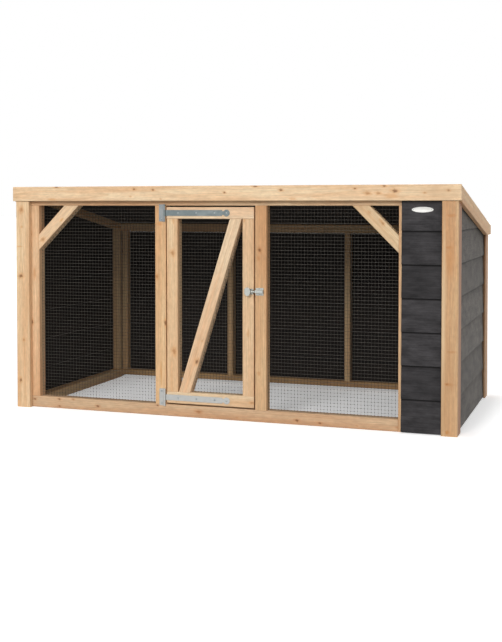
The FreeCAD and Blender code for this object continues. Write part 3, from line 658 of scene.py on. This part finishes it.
class PETRUN_OT_cladding(bpy.types.Operator):
    """Ease the black boards' edges and stain them, course by course"""
    bl_idname = "petrun.cladding"
    bl_label = "Black boards"

    deck_boards: bpy.props.IntProperty(
        name="Roof boards", description="Number of boards side by side in the roof", min=1, default=15)

    def execute(self, context):
        run = context.scene.pet_run
        courses = ("Z", run.ground_gap, run.board_cover)
        deck_low, deck_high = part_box("roof_boards")
        deck_courses = ("X", deck_low.x, (deck_high.x - deck_low.x) / self.deck_boards)
        # The inner faces and the roof's underside take the darker inside stains, as painted shade of the
        # run's inside.
        inside = (run.shaded_inside_stain, run.shaded_inside_stain_thin)
        quarter = -math.pi / 2
        level = stained_board(
            "stained_board_front_back", 0.0, courses, (run.stain, run.stain_thin), 0.4, 0.2)
        side = stained_board(
            "stained_board_sides", quarter, courses, (run.stain, run.stain_worn), 0.45, 0.2, 0.07)
        rear_face = stained_board("stained_board_inside_back", 0.0, courses, inside, 0.5, 0.02)
        side_face = stained_board("stained_board_inside", quarter, courses, inside, 0.5, 0.02)
        deck = stained_board("stained_board_roof", quarter, deck_courses, inside, 0.6, 0.02)
        for node, outer, inner, inward in (("front_cladding", level, rear_face, Vector((0, 1, 0))),
                                           ("back_cladding", level, rear_face, Vector((0, -1, 0))),
                                           ("left_cladding", side, side_face, Vector((1, 0, 0))),
                                           ("right_cladding", side, side_face, Vector((-1, 0, 0))),
                                           ("roof_boards", deck, deck, Vector((0, 0, -1)))):
            piece = eased(node, run.board_ease, "_sawn", [outer, inner])
            for face in piece.data.polygons:
                face.material_index = 1 if face.normal.dot(inward) > INWARD_SHARE else 0
        return {"FINISHED"}


class PETRUN_OT_felt(bpy.types.Operator):
    """Face the roof with mineral felt"""
    bl_idname = "petrun.felt"
    bl_label = "Roofing felt"

    def execute(self, context):
        run = context.scene.pet_run
        eased("roof_felt", run.felt_ease, "_mineral", [mineral_felt(run)])
        return {"FINISHED"}


class PETRUN_OT_mesh(bpy.types.Operator):
    """Lay the fine welded mesh in place of the coarse nets"""
    bl_idname = "petrun.mesh"
    bl_label = "Welded mesh"

    def execute(self, context):
        run = context.scene.pet_run
        finishes = [wire_zinc("galvanised_line_wire", run.wire_zinc),
                    wire_zinc("galvanised_stay_wire", run.stay_zinc_shaded)]
        radius = run.mesh_wire / 2
        # The welds press the level wires and the upright ones into each other.
        lay = radius * 0.6
        level = Matrix.Rotation(math.pi / 2, 4, "Y")
        for node in NETS:
            low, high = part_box(node)
            middle = (low + high) / 2
            extent = high - low
            columns = round(extent.x / run.mesh_pitch)
            rows = round(extent.z / run.mesh_pitch)
            bm = bmesh.new()
            for column in range(columns):
                x = low.x + (column + 0.5) * extent.x / columns
                lay_wire(bm, radius, extent.z, Matrix.Translation((x, middle.y + lay, middle.z)))
            # The upright wires take the darker finish, as painted shade.
            for face in bm.faces:
                face.material_index = 1
            for row in range(rows):
                z = low.z + (row + 0.5) * extent.z / rows
                lay_wire(bm, radius, extent.x, Matrix.Translation((middle.x, middle.y - lay, z)) @ level)
            piece = settle(bm, node + "_wires", BODIES[node], finishes)
            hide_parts(node)
        return {"FINISHED"}


class PETRUN_OT_hardware(bpy.types.Operator):
    """Round the edges of the hinges and the bolt and coat them with zinc"""
    bl_idname = "petrun.hardware"
    bl_label = "Hinges and bolt"

    def execute(self, context):
        run = context.scene.pet_run
        strap = zinc_plate("galvanised_steel_upper_strap", run.strap_zinc)
        leaf = zinc_plate("galvanised_steel_upper_leaf", run.leaf_zinc)
        lower = zinc_plate("galvanised_steel_lower", run.lower_zinc)
        bright = zinc_plate("galvanised_steel_bolt", run.zinc, 0.005)
        finishes = {"upper_hinge_strap": strap, "upper_hinge_leaf": leaf, "lower_hinge_strap": lower,
                    "lower_hinge_leaf": lower}
        for node in PLATES:
            if not node.endswith("_screws"):
                eased(node, run.plate_ease, "_pressed", [finishes.get(node, bright)], all_round=True)
        return {"FINISHED"}


class PETRUN_OT_screws(bpy.types.Operator):
    """Set domed screws in the hinges and small ones in the bolt's plates"""
    bl_idname = "petrun.screws"
    bl_label = "Screws"

    head_radius: length("Head", "Radius of the hinge screws' heads", 0.0038)
    head_rise: length("Rise", "Height of the hinge screws' heads", 0.0018)
    plain_rise: length("Plain rise", "Height of the plain heads that the domed ones replace", 0.0016)
    small_radius: length("Small head", "Radius of the bolt plates' screw heads", 0.0021)
    small_rise: length("Small rise", "Height of the bolt plates' screw heads", 0.00108)
    plate_thickness: length("Plate", "Thickness of the bolt's plates", 0.002)
    inset: length("Inset", "Small screws from the plates' upper and lower edges", 0.0035)
    guide_inset: length("Guide inset", "Small screws from the guide's left edge", 0.0055)

    def execute(self, context):
        material = zinc_plate("galvanised_screw", context.scene.pet_run.screw_zinc, 0.003)
        face_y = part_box("lower_hinge_leaf")[1].y - self.plate_thickness
        for node, plate in (("frame_screws", "bolt_keeper"), ("door_screws", "bolt_guide")):
            bm = bmesh.new()
            for place in self.seats(node):
                drive_screw(bm, place, FRONT, self.head_radius, self.head_rise)
            low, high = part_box(plate)
            x = low.x + self.guide_inset if plate == "bolt_guide" else (low.x + high.x) / 2
            for z in (low.z + self.inset, high.z - self.inset):
                drive_screw(bm, (x, face_y, z), FRONT, self.small_radius, self.small_rise)
            piece = settle(bm, node + "_domed", BODIES[node], [material])
            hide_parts(node)
        return {"FINISHED"}

    def seats(self, node):
        """Middle of each screw's seat, found from the screws' own solids."""
        bm = merged(node)
        found = []
        left = set(bm.verts)
        while left:
            island = {left.pop()}
            frontier = list(island)
            while frontier:
                vertex = frontier.pop()
                for edge in vertex.link_edges:
                    other = edge.other_vert(vertex)
                    if other not in island:
                        island.add(other)
                        frontier.append(other)
            left -= island
            x = [vertex.co.x for vertex in island]
            z = [vertex.co.z for vertex in island]
            front_y = min(vertex.co.y for vertex in island)
            found.append(((min(x) + max(x)) / 2, front_y + self.plain_rise, (min(z) + max(z)) / 2))
        bm.free()
        return found


class PETRUN_OT_nails(bpy.types.Operator):
    """Drive the nails of the back fascia, the corner boards and the side fascias"""
    bl_idname = "petrun.nails"
    bl_label = "Nails"

    back_count: bpy.props.IntProperty(
        name="Back nails", description="Number of nails along the back fascia", min=2, default=5)
    end_gap: length("End gap", "Outer nails from the back fascia's ends", 0.03)
    left_gap: length("Left gap", "Nails from the left edges of the boards at the back corners", 0.018)
    right_gap: length("Right gap", "Nails from the right edges of the boards at the back corners", 0.012)
    fascia_depth: length("Fascia depth", "Depth of the side fascias, nailed along their middle", 0.058)

    def execute(self, context):
        run = context.scene.pet_run
        nails = []
        low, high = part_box("back_fascia")
        spacing = (high.x - low.x - 2 * self.end_gap) / (self.back_count - 1)
        for index in range(self.back_count):
            x = low.x + self.end_gap + index * spacing
            nails.append(((x, high.y, (low.z + high.z) / 2), BACK))
        for node in ("back_left_corner_board", "back_right_corner_board"):
            low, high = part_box(node)
            for share in (0.06, 0.36, 0.66, 0.95):
                z = low.z + share * (high.z - low.z)
                for x in (low.x + self.left_gap, high.x - self.right_gap):
                    nails.append(((x, high.y, z), BACK))
        for side, sign in (("left", -1), ("right", 1)):
            outward = (sign, 0, 0)
            for place in ("front", "rear"):
                low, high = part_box(side + "_" + place + "_corner_board")
                x = high.x if sign > 0 else low.x
                for share in (0.06, 0.36, 0.66, 0.93):
                    z = low.z + share * (high.z - low.z)
                    nails.append(((x, (low.y + high.y) / 2, z), outward))
            low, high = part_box(side + "_fascia")
            x = high.x if sign > 0 else low.x
            for share in (0.05, 0.35, 0.65, 0.95):
                y = low.y + share * (high.y - low.y)
                z = high.z - share * (high.z - low.z - self.fascia_depth) - self.fascia_depth / 2
                nails.append(((x, y, z), outward))
        bm = bmesh.new()
        for place, outward in nails:
            drive_nail(bm, Vector(place), outward, run.nail_radius)
        steel = zinc_plate("nail_steel", run.nail_steel, 0.002)
        settle(bm, "board_nails", "run", [steel])
        return {"FINISHED"}


class PETRUN_OT_badge(bpy.types.Operator):
    """Fix the bare oval plate to the clad panel"""
    bl_idname = "petrun.badge"
    bl_label = "Bare oval plate"

    width: length("Width", "Width of the oval", 0.077)
    height: length("Height", "Height of the oval", 0.0195)
    thickness: length("Thickness", "Thickness of the oval", 0.0014)
    middle_x: length("Middle", "Middle of the oval from the run's middle", 0.757)
    middle_z: length("Level", "Middle of the oval above the ground", 0.800)
    butt: length("Board butt", "Thickness of the boards' lower edges", 0.013)
    tip: length("Board tip", "Thickness of the boards' upper edges", 0.007)
    lap: length("Board lap", "Height of board hidden behind the next one", 0.012)
    pin_radius: length("Pin head", "Radius of the pins' heads", 0.0015)
    pin_rise: length("Pin rise", "Height of the pins' heads", 0.0008)

    def execute(self, context):
        run = context.scene.pet_run
        course = math.floor((self.middle_z - run.ground_gap) / run.board_cover)
        butt_z = run.ground_gap + run.board_cover * course
        fall = (self.butt - self.tip) / (run.board_cover + self.lap)
        face_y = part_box("front_top_rail")[0].y - self.butt + fall * (self.middle_z - butt_z)
        tilt = Matrix.Rotation(math.pi / 2 - math.atan(fall), 4, "X")
        place = Matrix.Translation((self.middle_x, face_y, self.middle_z)) @ tilt
        bm = bmesh.new()
        bmesh.ops.create_circle(bm, cap_ends=True, segments=56, radius=0.5)
        bmesh.ops.scale(bm, vec=(self.width, self.height, 1.0), verts=bm.verts)
        raised = bmesh.ops.extrude_face_region(bm, geom=bm.faces[:])
        crown = [item for item in raised["geom"] if isinstance(item, bmesh.types.BMFace)][0]
        bmesh.ops.translate(bm, verts=crown.verts, vec=(0, 0, self.thickness))
        bmesh.ops.recalc_face_normals(bm, faces=bm.faces)
        # A rolled rim 2 mm wide: rounded outside, flat on top and stepped down to the sunk face.
        for inset, lift in ((0.0005, 0.0003), (0.0010, 0.0), (0.0005, -0.0004)):
            bmesh.ops.inset_region(bm, faces=[crown], thickness=inset, use_even_offset=True)
            bmesh.ops.translate(bm, verts=crown.verts, vec=(0, 0, lift))
        bmesh.ops.transform(bm, matrix=place, verts=bm.verts)
        settle(bm, "oval_plate", "run", [stove_enamel(run)])
        bm = bmesh.new()
        outward = (tilt @ Vector((0, 0, 1))).normalized()
        for sign in (-1, 1):
            seat = place @ Vector((sign * self.width * 0.42, 0, self.thickness))
            drive_screw(bm, seat, outward, self.pin_radius, self.pin_rise)
        settle(bm, "oval_plate_pins", "run",
               [zinc_plate("plate_pin", linear("a7abad"), 0.002)])
        return {"FINISHED"}


class PETRUN_OT_stage(bpy.types.Operator):
    """Set the pale floor, the soft light and the camera"""
    bl_idname = "petrun.stage"
    bl_label = "Stage"

    floor_half: length("Floor", "Half the floor's width", 60.0)

    def execute(self, context):
        run = context.scene.pet_run
        scene = context.scene
        scene.view_settings.view_transform = "Standard"

        bm = bmesh.new()
        bmesh.ops.create_grid(bm, x_segments=1, y_segments=1, size=self.floor_half)
        mesh = bpy.data.meshes.new("floor")
        bm.to_mesh(mesh)
        bm.free()
        mesh.materials.append(self.floor_finish())
        floor = bpy.data.objects.new("floor", mesh)
        scene.collection.objects.link(floor)

        world = bpy.data.worlds.new("even_light")
        scene.world = world
        world.use_nodes = True
        tree = world.node_tree
        sky = tree.nodes["Background"]
        seen = self.seen_rays(tree)
        # An overcast sky, three times as bright overhead as at the horizon.
        toward = add(tree, "TexCoord", {}).outputs["Generated"]
        climb = add(tree, "SeparateXYZ", {0: toward}).outputs["Z"]
        level = add(tree, "MapRange", {"Value": climb, "To Min": run.sky_strength,
                                       "To Max": run.sky_strength * 3}).outputs[0]
        level = add(tree, "Mix", {0: seen, 2: level, 3: 1.0}, data_type="FLOAT").outputs[0]
        sky.inputs["Color"].default_value = (1.0, 1.0, 1.0, 1.0)
        tree.links.new(level, sky.inputs["Strength"])

        for name, strength in (("soft_key", run.sun_strength), ("broad_fill", run.fill_strength)):
            breadth, tilt, turn = (math.radians(angle) for angle in LAMPS[name])
            light = bpy.data.lights.new(name, "SUN")
            light.energy = strength
            light.angle = breadth
            lamp = bpy.data.objects.new(name, light)
            lamp.rotation_euler = (tilt, 0.0, turn)
            scene.collection.objects.link(lamp)

        lens = bpy.data.cameras.new("camera")
        lens.sensor_width = 36.0
        lens.lens = CAMERA_LENS
        lens.shift_y = CAMERA_SHIFT
        lens.clip_end = 200.0
        camera = bpy.data.objects.new("camera", lens)
        camera.location = CAMERA_PLACE
        camera.rotation_euler = (math.radians(90.0 - CAMERA_TILT), 0.0, math.radians(CAMERA_TURN))
        scene.collection.objects.link(camera)
        scene.camera = camera
        return {"FINISHED"}

    def seen_rays(self, tree):
        """One for rays that show the background, straight or by reflection, else zero."""
        path = add(tree, "LightPath", {})
        shown = add(tree, "Math", {0: path.outputs["Is Camera Ray"], 1: path.outputs["Is Glossy Ray"]},
                    operation="MAXIMUM").outputs[0]
        return add(tree, "Math", {0: shown, 1: path.outputs["Is Transmission Ray"]},
                   operation="MAXIMUM").outputs[0]

    def floor_finish(self):
        """Plain white studio floor that keeps the run's shadow and throws back a little less than it shows.

        It glows for the camera as painted light, which lifts its shadows, most over the first 80 mm beyond
        the run, a little sooner at the left than at the right.
        """
        material, tree, skin = surface("studio_floor")
        seen = self.seen_rays(tree)
        base = add(tree, "Mix", {0: seen, 6: linear("b4b0aa"), 7: linear("ffffff")},
                   data_type="RGBA").outputs[2]
        tree.links.new(base, skin.inputs["Base Color"])
        skin.inputs["Roughness"].default_value = 1.0
        skin.inputs["Specular IOR Level"].default_value = 0.0
        skin.inputs["Emission Color"].default_value = (1.0, 1.0, 1.0, 1.0)
        # Painted light: the floor's glow is weakest round the run and grows over 80 mm beyond it.
        past = add(tree, "TexCoord", {}).outputs["Object"]
        past = add(tree, "VectorMath", {0: past, 1: PATCH_MIDDLE}, operation="SUBTRACT").outputs[0]
        past = add(tree, "VectorMath", {0: past}, operation="ABSOLUTE").outputs[0]
        past = add(tree, "VectorMath", {0: past, 1: PATCH_HALVES}, operation="SUBTRACT").outputs[0]
        past = add(tree, "VectorMath", {0: past, 1: (0.0, 0.0, 0.0)}, operation="MAXIMUM").outputs[0]
        past = add(tree, "VectorMath", {0: past}, operation="LENGTH").outputs["Value"]
        glow = add(tree, "MapRange", {"Value": past, "From Max": PATCH_RIM, "To Min": FLOOR_PAINTED_GLOW[0],
                                      "To Max": FLOOR_PAINTED_GLOW[1]}).outputs[0]
        glow = add(tree, "Math", {0: seen, 1: glow}, operation="MULTIPLY").outputs[0]
        tree.links.new(glow, skin.inputs["Emission Strength"])
        return material


class PETRUN_PT_pieces(bpy.types.Panel):
    """The run's pieces in the order in which they are made"""
    bl_idname = "PETRUN_PT_pieces"
    bl_label = "Pet run"
    bl_space_type = "VIEW_3D"
    bl_region_type = "UI"
    bl_category = "Pet run"

    def draw(self, context):
        for name in PetRunSettings.__annotations__:
            self.layout.prop(context.scene.pet_run, name)
        for step in STEPS:
            self.layout.operator(step.bl_idname)


STEPS = (PETRUN_OT_timbers, PETRUN_OT_cladding, PETRUN_OT_felt, PETRUN_OT_mesh, PETRUN_OT_hardware,
         PETRUN_OT_screws, PETRUN_OT_nails, PETRUN_OT_badge, PETRUN_OT_stage)
CLASSES = (PetRunSettings,) + STEPS + (PETRUN_PT_pieces,)


def register():
    for entry in CLASSES:
        bpy.utils.register_class(entry)
    bpy.types.Scene.pet_run = bpy.props.PointerProperty(type=PetRunSettings)


def unregister():
    del bpy.types.Scene.pet_run
    for entry in reversed(CLASSES):
        bpy.utils.unregister_class(entry)


def main():
    """Make every piece in order."""
    register()
    bpy.ops.petrun.timbers()
    bpy.ops.petrun.cladding()
    bpy.ops.petrun.felt()
    bpy.ops.petrun.mesh()
    bpy.ops.petrun.hardware()
    bpy.ops.petrun.screws()
    bpy.ops.petrun.nails()
    bpy.ops.petrun.badge()
    bpy.ops.petrun.stage()


if __name__ == "__main__":
    main()
